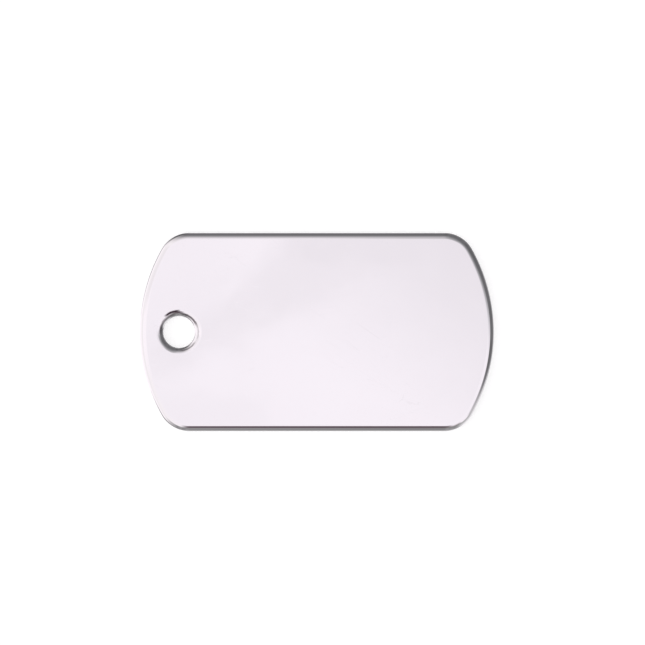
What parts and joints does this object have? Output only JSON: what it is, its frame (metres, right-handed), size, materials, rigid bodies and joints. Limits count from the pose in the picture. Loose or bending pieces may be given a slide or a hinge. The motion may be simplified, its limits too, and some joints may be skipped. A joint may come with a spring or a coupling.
{
  "type": "identification dog tag",
  "caption": "Blank identification tag: a flat plate of polished steel with bowed ends, rounded corners, buffed edges and a round hole near its end for a ring or chain.",
  "frame": {"origin": "under the middle of the plate, on the surface that it rests on", "axes": "+X along the length, away from the hole; +Y across the width; +Z out of the front face"},
  "size_m": [0.05, 0.028, 0.0015],
  "materials": {
    "polished_steel": "polished"
  },
  "bodies": {
    "root": {"tag_plate": "polished_steel"}
  },
  "joints": []
}
